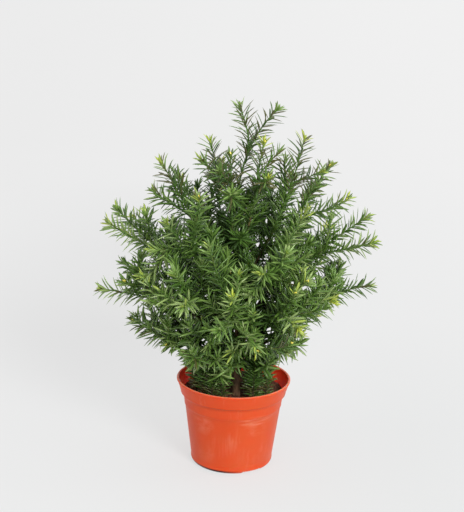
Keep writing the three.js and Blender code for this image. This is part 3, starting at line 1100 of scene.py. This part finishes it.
def needle_finish(name, colour):
    finish = Finish(name, roughness=0.3, specular=0.5)
    base = srgb(*colour)
    drift = finish.noise(38, detail=2)
    darker = tuple(0.72 * value for value in base)
    finish.colour(finish.mix(finish.band(drift, 0.35, 0.65), darker, base))
    finish.gloss(0.17 + 0.2 * finish.noise(220, detail=1))
    return finish


# Twigs and bark

def tube_mesh(name, lines):
    """A carrier of chained points, with the radius of each in an attribute."""
    points, edges, radii = [], [], []
    for line, line_radii in lines:
        first = len(points)
        points += [point * MM for point in line]
        radii += [radius * MM for radius in line_radii]
        edges += [(first + n, first + n + 1) for n in range(len(line) - 1)]
    mesh = bpy.data.meshes.new(name)
    mesh.from_pydata([tuple(point) for point in points], edges, [])
    mesh.attributes.new("thick", "FLOAT", "POINT").data.foreach_set("value", radii)
    return mesh


def tube_recipe(name, sides, step, relief, grain):
    """Round limbs along the carrier's chains, roughened along their normals."""
    recipe = Recipe(name, {"Sides": sides, "Step": step, "Relief": relief, "Grain": grain})
    given = recipe.given
    chains = recipe.add("GeometryNodeMeshToCurve", {}, {0: given["Geometry"]})
    chains = recipe.add("GeometryNodeResampleCurve", {"mode": "LENGTH"}, {
        "Curve": chains, "Length": given["Step"],
    })
    ring = recipe.add("GeometryNodeCurvePrimitiveCircle", {}, {
        "Resolution": given["Sides"], "Radius": 1.0,
    })
    limbs = recipe.add("GeometryNodeCurveToMesh", {}, {
        "Curve": chains, "Profile Curve": ring,
        "Scale": recipe.read("thick", "FLOAT"), "Fill Caps": True,
    })
    stretched = recipe.add("ShaderNodeVectorMath", {"operation": "MULTIPLY"}, {
        0: recipe.add("GeometryNodeInputPosition"), 1: (1, 1, 0.3),
    })
    rough = recipe.add("ShaderNodeTexNoise", {}, {
        "Vector": stretched, "Scale": given["Grain"], "Detail": 2.0,
    })
    height = recipe.math("MULTIPLY", recipe.math("SUBTRACT", rough, 0.5), given["Relief"])
    push = recipe.add("ShaderNodeVectorMath", {"operation": "SCALE"}, {
        0: recipe.add("GeometryNodeInputNormal"), "Scale": height,
    })
    limbs = recipe.add("GeometryNodeSetPosition", {}, {"Geometry": limbs, "Offset": push})
    limbs = recipe.add("GeometryNodeSetShadeSmooth", {}, {"Geometry": limbs})
    recipe.finish(limbs)
    return recipe


def taper(line, foot, tip):
    last = len(line) - 1
    return [blend(foot, tip, n / last) for n in range(len(line))]


def trunk_lines():
    """The trunk's line, finer towards its flare, with its thickness."""
    heights = [blend(TRUNK_FOOT.z, TRUNK_TOP.z, share ** 1.5) for share in steps(40)]
    radii = [trunk_radius(height) for height in heights]
    return [([trunk_at(height) for height in heights], radii)]


def bough_lines(limbs):
    """Each bough's and stem's line as far as its foliage, slimmer the higher it leaves."""
    lines = []
    for limb in limbs:
        if limb.name != "leader":
            is_stem = limb.height == 0
            start = 0.0 if is_stem else BOUGH_START
            line = limb.whole.line(start, BOUGH_SHARE + BOUGH_START, 16)
            share = ramp(limb.height, *HIGH_BOUGHS)
            root = blend(BOUGH_ROOT_RADIUS, HIGH_BOUGH_RADII[0], share)
            tip = blend(BOUGH_TIP_RADIUS, HIGH_BOUGH_RADII[1], share)
            lines.append((line, taper(line, BOUGH_TIP_RADIUS if is_stem else root, tip)))
    return lines


def twig_lines(shoots):
    lines = []
    for shoot in shoots:
        foot, tip = shoot.radii
        lines.append((shoot.line, taper(shoot.line, min(foot, BOUGH_TIP_RADIUS), tip)))
    return lines


def bark_finish():
    finish = Finish("bark", roughness=0.85, specular=0.25)
    grain = finish.noise(260, detail=5, roughness=0.65, stretch=(1, 1, 0.22))
    patches = finish.noise(60, detail=2)
    streaks = finish.band(grain, 0.36, 0.64)
    worn = finish.mix(streaks, srgb(40, 30, 22), srgb(120, 94, 66))
    red = finish.mix(streaks, srgb(44, 31, 23), srgb(104, 78, 56))
    finish.colour(finish.mix(finish.band(patches, 0.4, 0.62), worn, red))
    finish.relief(grain, 0.0012)
    return finish


def twig_finish():
    finish = Finish("twig_skin", roughness=0.6, specular=0.35)
    grain = finish.noise(300, detail=3, stretch=(1, 1, 0.3))
    patches = finish.noise(45, detail=2)
    green = finish.mix(grain, srgb(62, 92, 40), srgb(98, 132, 58))
    brown = finish.mix(grain, srgb(74, 76, 38), srgb(112, 104, 54))
    skin = finish.mix(finish.band(patches, 0.52, 0.7), green, brown)
    woody = 1 - finish.band(finish.axis("Z"), 0.105, 0.15)
    finish.colour(finish.mix(woody, skin, srgb(58, 52, 32)))
    finish.relief(grain, 0.0002)
    return finish


# Buds

BUD_RADIUS = 1.5
BUD_SHARE = 0.17
BUD_SHAPE = (1, 1, 1.5)


def bud_recipe():
    recipe = Recipe("buds", {"Radius": BUD_RADIUS * MM, "Detail": 2})
    given = recipe.given
    ball = recipe.add("GeometryNodeMeshIcoSphere", {}, {
        "Radius": given["Radius"], "Subdivisions": given["Detail"],
    })
    recipe.finish(stand_on_points(recipe, ball, given["Geometry"]))
    return recipe


def bud_points(shoots):
    points, turns, sizes = [], [], []
    for shoot in shoots:
        if chance(shoot.seed + 77) > BUD_SHARE:
            continue
        walk = Walk(shoot.line)
        point, along = walk.at(walk.total)
        points.append(point)
        turns.append(tuple(along.to_track_quat("Z", "Y").to_euler()))
        sizes.append(BUD_SHAPE)
    return points_mesh("bud_points", points, turn=turns, size=sizes)


def bud_finish():
    finish = Finish("bud_skin", roughness=0.2, specular=0.8)
    drift = finish.noise(400, detail=2)
    finish.colour(finish.mix(drift, srgb(250, 216, 40), srgb(255, 244, 130)))
    return finish


# Pot

def arc(centre_radius, centre_height, radius, start, end, count):
    angles = [math.radians(blend(start, end, share)) for share in steps(count)]
    return [(centre_radius + radius * math.cos(angle), centre_height + radius * math.sin(angle))
            for angle in angles]


def wall_radius(height):
    share = (height - FOOT_ROUND) / (BAND_FOOT - FOOT_ROUND)
    return blend(WALL_FOOT_RADIUS, WALL_TOP_RADIUS, share)


def pot_profile():
    """The pot's section, from the middle underneath, out, over the lip and back inside."""
    roll = LIP_THICKNESS / 2
    rib = BAND_FOOT - RIB_DROP
    band_foot_round = 1.2
    under = 0.9
    profile = [(POLE, under), (FOOT_RADIUS - FOOT_RING, under), (FOOT_RADIUS - 5, 0), (FOOT_RADIUS, 0)]
    profile += arc(WALL_FOOT_RADIUS - FOOT_ROUND, FOOT_ROUND, FOOT_ROUND, -72, 0, 8)
    profile += [(wall_radius(height) - RIB_PROUD, height) for height in range(8, 62, 3)]
    profile.append((wall_radius(rib - 0.9) - RIB_PROUD, rib - 0.9))
    profile.append((wall_radius(rib - 0.5) - 0.6 * RIB_PROUD, rib - 0.5))
    profile.append((wall_radius(rib) + 0.2 * RIB_PROUD, rib))
    profile += [(wall_radius(height), height) for height in (67, 70, 73)]
    profile += [(WALL_TOP_RADIUS, BAND_FOOT - 0.9), (WALL_TOP_RADIUS + 0.7, BAND_FOOT - 0.35)]
    profile += arc(BAND_FOOT_RADIUS - band_foot_round, BAND_FOOT + band_foot_round,
                   band_foot_round, -80, -8, 5)
    top = POT_HEIGHT - LIP_THICKNESS - 1
    for share in steps(6):
        profile.append((blend(BAND_FOOT_RADIUS + 0.15, BAND_TOP_RADIUS - 0.2, share),
                        blend(BAND_FOOT + 2.4, top - 0.6, share)))
    profile.append((BAND_TOP_RADIUS + 0.3, top + 0.4))
    profile += arc(LIP_RADIUS - roll, POT_HEIGHT - roll, roll, -75, 190, 14)
    inner = WALL_THICKNESS
    profile += [
        (BAND_TOP_RADIUS - inner, top),
        (BAND_FOOT_RADIUS - inner, BAND_FOOT),
        (WALL_TOP_RADIUS - inner, BAND_FOOT - 1),
        (wall_radius(40) - inner, 40),
        (WALL_FOOT_RADIUS - inner, FLOOR_THICKNESS + 3),
        (WALL_FOOT_RADIUS - inner - 3, FLOOR_THICKNESS),
        (POLE, FLOOR_THICKNESS),
    ]
    return profile


def notch_lift(azimuth, radius):
    """How high the foot's edge is cut away at an azimuth."""
    half = math.degrees(math.asin(NOTCH_WIDTH / 2 / radius))
    for middle in NOTCH_AZIMUTHS:
        apart = abs((azimuth - middle + 180) % 360 - 180)
        if apart < half:
            return NOTCH_HEIGHT * min(1, (half - apart) / 1.5)
    return 0


def turned_mesh(name, profile, sides, shape=None):
    """A closed lathe mesh, with its poles welded."""
    shell = bmesh.new()
    rings = []
    for side in range(sides):
        azimuth = 360 * side / sides
        ring = []
        for radius, height in profile:
            spot = place(azimuth, radius, height)
            if shape:
                spot = shape(spot, azimuth, radius)
            ring.append(shell.verts.new(spot * MM))
        rings.append(ring)
    for side in range(sides):
        here, there = rings[side], rings[(side + 1) % sides]
        for n in range(len(profile) - 1):
            shell.faces.new((here[n], there[n], there[n + 1], here[n + 1]))
    bmesh.ops.remove_doubles(shell, verts=shell.verts, dist=0.02 * MM)
    bmesh.ops.recalc_face_normals(shell, faces=shell.faces)
    return shell_mesh(shell, name)


def shape_pot(spot, azimuth, radius):
    """Cuts the notches and lets the thin wall stray a little from round."""
    if FOOT_RADIUS - FOOT_RING < radius and spot.z < NOTCH_HEIGHT:
        spot.z = max(spot.z, notch_lift(azimuth, radius))
    stray = OUT_OF_ROUND * math.sin(math.radians(2 * azimuth + 40)) * spot.z / POT_HEIGHT
    return Vector((spot.x * (1 + stray / LIP_RADIUS), spot.y * (1 - stray / LIP_RADIUS), spot.z))


# Scuffs on the pot's front: place across, height, half width and half height in millimetres,
# strength, and the grain of the strokes along X and Z
SCUFFS = (
    (-31, 53, 15, 12, 0.4, 60, 60),
    (25, 62, 22, 7, 0.75, 40, 420),
    (24, 52, 14, 10, 0.35, 60, 90),
    (-3, 36, 5, 18, 0.35, 420, 30),
    (-14, 32, 14, 17, 0.12, 300, 24),
    (8, 24, 9, 14, 0.06, 260, 24),
    (-26, 20, 12, 12, 0.2, 80, 60),
)


def scuff_marks(finish):
    """How pale the pot is for its scuffs, which lie on the side that faces -Y."""
    across, depth, height = (finish.axis(name) for name in "XYZ")
    marks = 0
    for x, z, half_width, half_height, strength, grain_x, grain_z in SCUFFS:
        aside = (across - x * MM) * (1 / (half_width * MM))
        above = (height - z * MM) * (1 / (half_height * MM))
        inside = 1 - finish.band(aside * aside + above * above, 0.1, 1, soft=True)
        strokes = finish.noise(1, detail=4, roughness=0.65, stretch=(grain_x, 1, grain_z))
        marks = marks + finish.band(strokes, 0.42, 0.75) * inside * strength
    return marks * finish.band(0 - depth, 0.0, 0.01)


def pot_wear(finish):
    """How worn the plastic is: fine streaks in patches, and the scuffs on the front."""
    streaks = finish.noise(70, detail=6, roughness=0.7, stretch=(1, 1, 0.16))
    patches = finish.noise(22, detail=2)
    worn = finish.band(streaks, 0.56, 0.8) * finish.band(patches, 0.45, 0.7, soft=True)
    return worn * 0.5 + scuff_marks(finish)


def pot_colour(finish, height, worn, dust):
    """Two close oranges, paler where worn and dusty low down, with a painted highlight at the lip, and
    painted shade in a dark foot line on the left and under the band.
    """
    flow = finish.noise(14, detail=4, stretch=(1, 1, 0.35))
    body = finish.mix(finish.band(flow, 0.3, 0.7), srgb(205, 69, 27), srgb(215, 80, 36))
    # Painted highlight: a paler line along the lip's top edge.
    edge = finish.band(height, (POT_HEIGHT - 1) * MM, POT_HEIGHT * MM, soft=True)
    low = 1 - finish.band(height, 0.004, 0.05, soft=True)
    dusty = finish.band(dust, 0.42, 0.8) * low
    # Painted shade on the left side, away from the key light: a dark line along the foot.
    left = 1 - finish.band(finish.axis("X"), -0.01, 0.014)
    foot = 1 - finish.band(height, 0.003, 0.0046)
    # Painted shade in the step under the band, stronger on the left side.
    crease_shade = finish.band(height, (BAND_FOOT - 1.2) * MM, (BAND_FOOT - 0.5) * MM)
    crease_shade = crease_shade - finish.band(height, (BAND_FOOT + 0.1) * MM, (BAND_FOOT + 0.8) * MM)
    layers = (
        (worn * 0.75, (240, 160, 134)),
        (edge * 0.55, (250, 152, 120)),
        (dusty * 0.15, (206, 130, 104)),
        (foot * left, (50, 14, 12)),
        (crease_shade * (0.25 + 0.4 * left), (120, 40, 28)),
    )
    for share, colour in layers:
        body = finish.mix(share.clamped(), body, srgb(*colour))
    return body


def pot_finish():
    finish = Finish("pot_plastic", roughness=0.42, specular=0.16)
    finish.shader.inputs["Subsurface Weight"].default_value = 0.7
    finish.shader.inputs["Subsurface Radius"].default_value = (1, 0.22, 0.08)
    finish.shader.inputs["Subsurface Scale"].default_value = 0.006
    worn = pot_wear(finish)
    dust = finish.noise(30, detail=5, roughness=0.6)
    finish.colour(pot_colour(finish, finish.axis("Z"), worn, dust))
    finish.gloss((0.34 + 0.22 * worn + 0.12 * dust).clamped())
    finish.relief(finish.noise(24, detail=3) + 0.25 * finish.noise(420, detail=2), 0.0004)
    return finish


# Soil

SOIL_RINGS = 30
SOIL_SIDES = 96
SOIL_GRAIN = 0.16
SOIL_LUMPS = 1.1
TRUNK_CLEARING = 12
SOIL_SINK = 1.2
SINK_FROM = 0.86
SINK_WIDTH = 0.14


def soil_spot(azimuth, radius):
    """A place on the soil's lumpy top, which is even by the trunk and sinks at the wall."""
    spot = place(azimuth, radius, 0)
    lump = noise.fractal(spot * SOIL_GRAIN, 0.9, 2.1, 4) * SOIL_LUMPS
    from_trunk = math.hypot(spot.x - TRUNK_FOOT.x, spot.y - TRUNK_FOOT.y)
    near = min(1, from_trunk / TRUNK_CLEARING)
    sink = SOIL_SINK * max(0, radius / SOIL_RADIUS - SINK_FROM) / SINK_WIDTH
    spot.z = soil_height(spot.x, spot.y) + lump * near - sink
    return spot


def soil_skirt(azimuth):
    """The soil's lower edge, inside the pot's band."""
    spot = place(azimuth, BAND_FOOT_RADIUS - WALL_THICKNESS - 1, BAND_FOOT - 4)
    return Vector((spot.x * 0.95, spot.y * 0.95, spot.z))


def soil_mesh():
    shell = bmesh.new()
    azimuths = [360 * side / SOIL_SIDES for side in range(SOIL_SIDES)]
    centre = shell.verts.new(stand_on_soil(0, 0) * MM - UP * SEAT_GAP * MM)
    grid = []
    for ring in range(1, SOIL_RINGS + 1):
        radius = (SOIL_RADIUS - 0.4) * ring / SOIL_RINGS
        grid.append([shell.verts.new(soil_spot(azimuth, radius) * MM) for azimuth in azimuths])
    for side in range(SOIL_SIDES):
        after = (side + 1) % SOIL_SIDES
        shell.faces.new((centre, grid[0][side], grid[0][after]))
        for inner, outer in zip(grid, grid[1:]):
            shell.faces.new((inner[side], outer[side], outer[after], inner[after]))
    skirt = [shell.verts.new(soil_skirt(azimuth) * MM) for azimuth in azimuths]
    for side in range(SOIL_SIDES):
        after = (side + 1) % SOIL_SIDES
        shell.faces.new((grid[-1][side], skirt[side], skirt[after], grid[-1][after]))
    shell.faces.new(list(reversed(skirt)))
    bmesh.ops.recalc_face_normals(shell, faces=shell.faces)
    return shell_mesh(shell, "soil_top")


def crumb_recipe():
    """Crumbs of peat scattered over the soil's top."""
    recipe = Recipe("crumbs", {"Density": 130000.0, "Largest": 2.0 * MM, "Seed": 7})
    given = recipe.given
    up = recipe.add("ShaderNodeSeparateXYZ", {}, {0: recipe.add("GeometryNodeInputNormal")}, 2)
    top = recipe.add("FunctionNodeCompare", {"operation": "GREATER_THAN"}, {0: up, 1: 0.4})
    spots = recipe.add("GeometryNodeDistributePointsOnFaces", {}, {
        "Mesh": given["Geometry"], "Selection": top,
        "Density": given["Density"], "Seed": given["Seed"],
    })
    crumb = recipe.add("GeometryNodeMeshIcoSphere", {}, {
        "Radius": given["Largest"], "Subdivisions": 1,
    })
    size = recipe.add("FunctionNodeRandomValue", {"data_type": "FLOAT_VECTOR"}, {
        0: (0.12, 0.12, 0.08), 1: (0.85, 0.85, 0.5), "Seed": given["Seed"],
    })
    turn = recipe.add("FunctionNodeRandomValue", {"data_type": "FLOAT_VECTOR"}, {
        0: (0, 0, 0), 1: (6.28, 6.28, 6.28), "Seed": given["Seed"],
    })
    turn = recipe.add("FunctionNodeEulerToRotation", {}, {0: turn})
    crumbs = recipe.add("GeometryNodeInstanceOnPoints", {}, {
        "Points": spots, "Instance": crumb, "Rotation": turn, "Scale": size,
    })
    recipe.finish(crumbs)
    return recipe


def soil_finish(name, dark, light):
    finish = Finish(name, roughness=0.95, specular=0.2)
    fine = finish.noise(420, detail=4, roughness=0.7)
    broad = finish.noise(55, detail=3)
    finish.colour(finish.mix((fine * 0.6 + broad * 0.5).clamped(), srgb(*dark), srgb(*light)))
    finish.relief(fine, 0.0008)
    return finish


# Stage, light and camera

def floor_mesh():
    """A floor that curves up into a backdrop, in metres."""
    half_width, front, back, top, bend = 4.0, -2.5, 1.6, 3.2, 0.7
    section = [(front, 0), (back, 0)]
    for angle in range(10, 91, 10):
        turned = math.radians(angle)
        section.append((back + bend * math.sin(turned), bend * (1 - math.cos(turned))))
    section.append((back + bend, top))
    sheet = bmesh.new()
    left, right = [[sheet.verts.new((x, y, z)) for y, z in section]
                   for x in (-half_width, half_width)]
    for n in range(len(section) - 1):
        sheet.faces.new((left[n], right[n], right[n + 1], left[n + 1]))
    return shell_mesh(sheet, "floor")


def floor_finish():
    """Pale paper that glows a little as painted light, with painted shadow at the near right and
    behind the plant's left.
    """
    finish = Finish("floor_paper", roughness=0.9, specular=0.1)
    # The glow is painted light, which keeps shadows on the paper faint.
    finish.shader.inputs["Emission Strength"].default_value = 0.64
    across, depth = finish.axis("X"), finish.axis("Y")
    # Painted shadow at the near right; the far part glows brighter.
    near_right_shadow = finish.band(across, 0.0, 0.2) - finish.band(depth, 0.1, 0.5)
    near = finish.mix(near_right_shadow.clamped(), (0.98, 0.985, 0.985), (0.925, 0.935, 0.935))
    far = finish.mix(finish.band(across, -0.5, 0.5), (1.03, 1.03, 1.03), (1.06, 1.06, 1.06))
    glow = finish.mix(finish.band(depth, 0.5, 1.6), near, far)
    # Painted shadow behind the plant's left.
    shade = finish.band(depth, 0.0, 0.4) - finish.band(depth, 0.8, 1.4)
    shade = shade * (finish.band(across, -0.45, -0.2) - finish.band(across, -0.1, 0.05))
    glow = finish.mix(shade.clamped(), glow, (0.93, 0.93, 0.93))
    finish.tree.links.new(glow, finish.shader.inputs["Emission Color"])
    drift = finish.noise(1.2, detail=2)
    finish.colour(finish.mix(drift, srgb(114, 114, 114), srgb(118, 118, 118)))
    return finish


def add_stage():
    floor = add_piece("floor", floor_mesh())
    floor.data.materials.append(floor_finish().material)


def add_light(name, spot, target, size, power):
    light = bpy.data.lights.new(name, "AREA")
    light.shape = "SQUARE"
    light.size = size
    light.energy = power
    lamp = add_piece(name, light)
    lamp.location = spot
    lamp.rotation_euler = (Vector(target) - Vector(spot)).to_track_quat("-Z", "Y").to_euler()


def add_lights():
    middle = (0, 0, 0.22)
    add_light("key", (1.0, -1.9, 1.4), middle, 0.75, 48)
    add_light("fill", (-1.1, -2.1, 0.5), middle, 1.8, 13.5)
    add_light("sky", (0, 0.2, 2.4), middle, 2.6, 14)
    add_light("backdrop_lamp", (1.9, 0.3, 1.5), (0.6, 2.3, 0.7), 1.4, 12)
    world = bpy.data.worlds.new("studio")
    world.use_nodes = True
    background = world.node_tree.nodes["Background"]
    background.inputs["Color"].default_value = (1, 1, 1, 1)
    background.inputs["Strength"].default_value = 0.5
    bpy.context.scene.world = world
    bpy.context.scene.view_settings.view_transform = "Standard"


def add_camera():
    """A long lens from a little above, turned slightly about its own axis."""
    lens = bpy.data.cameras.new("camera")
    lens.sensor_width = SENSOR
    lens.lens = SENSOR * FOCUS / PICTURE[1]
    camera = add_piece("camera", lens)
    turn = Matrix((RIGHT, TOP, BACK)).transposed().to_4x4()
    camera.matrix_world = Matrix.Translation(EYE * MM) @ turn
    bpy.context.scene.camera = camera


# Assembly

add_camera()
add_lights()
add_stage()

limbs, shoots = grow_plant()
names = [limb.name for limb in limbs]
foliage_nodes = [f"foliage_{name}" for name in names]
bough_nodes = [name if name.startswith("stem") else f"bough_{name}"
               for name in names if name != "leader"]

pot = add_piece("nursery_pot", turned_mesh("nursery_pot", pot_profile(), 180, shape_pot))
pot.data.materials.append(pot_finish().material)
seat(pot, "pot_plastic", "pot")

soil = add_piece("soil_top", soil_mesh())
soil.data.materials.append(soil_finish("peat", (40, 24, 18), (104, 68, 52)).material)
seat(soil, "soil", "soil")
crumbs = crumb_recipe().make("soil_crumbs", soil.data.copy(),
                             soil_finish("peat_crumb", (62, 36, 26), (150, 96, 74)))
seat(crumbs, "soil", "soil")

bark = bark_finish()
bark_recipe = tube_recipe("bark_tube", 20, 1.2 * MM, 0.9 * MM, 260.0)
trunk = bark_recipe.make("trunk_bark", tube_mesh("trunk_line", trunk_lines()), bark)
seat(trunk, "bark", "trunk")
limb_recipe = tube_recipe("limb_tube", 10, 1.8 * MM, 0.5 * MM, 300.0)
boughs = limb_recipe.make("bough_bark", tube_mesh("bough_lines", bough_lines(limbs)), bark)
seat(boughs, "bark", *bough_nodes)

twig_recipe = tube_recipe("twig_tube", 6, 4 * MM, 0.2 * MM, 300.0)
twig_mesh = tube_mesh("twig_lines", twig_lines(shoots))
twigs = twig_recipe.make("green_twigs", twig_mesh, twig_finish())
seat(twigs, "foliage", *foliage_nodes)

needles = needle_recipe()
for name, (points, turns, sizes) in needle_fields(shoots).items():
    carrier = points_mesh(name, points, turn=turns, size=sizes)
    piece = needles.make(name, carrier, needle_finish(name, SHADES[name]))
    seat(piece, "foliage", *foliage_nodes)

buds = bud_recipe().make("gold_buds", bud_points(shoots), bud_finish())
seat(buds, "foliage", *foliage_nodes)
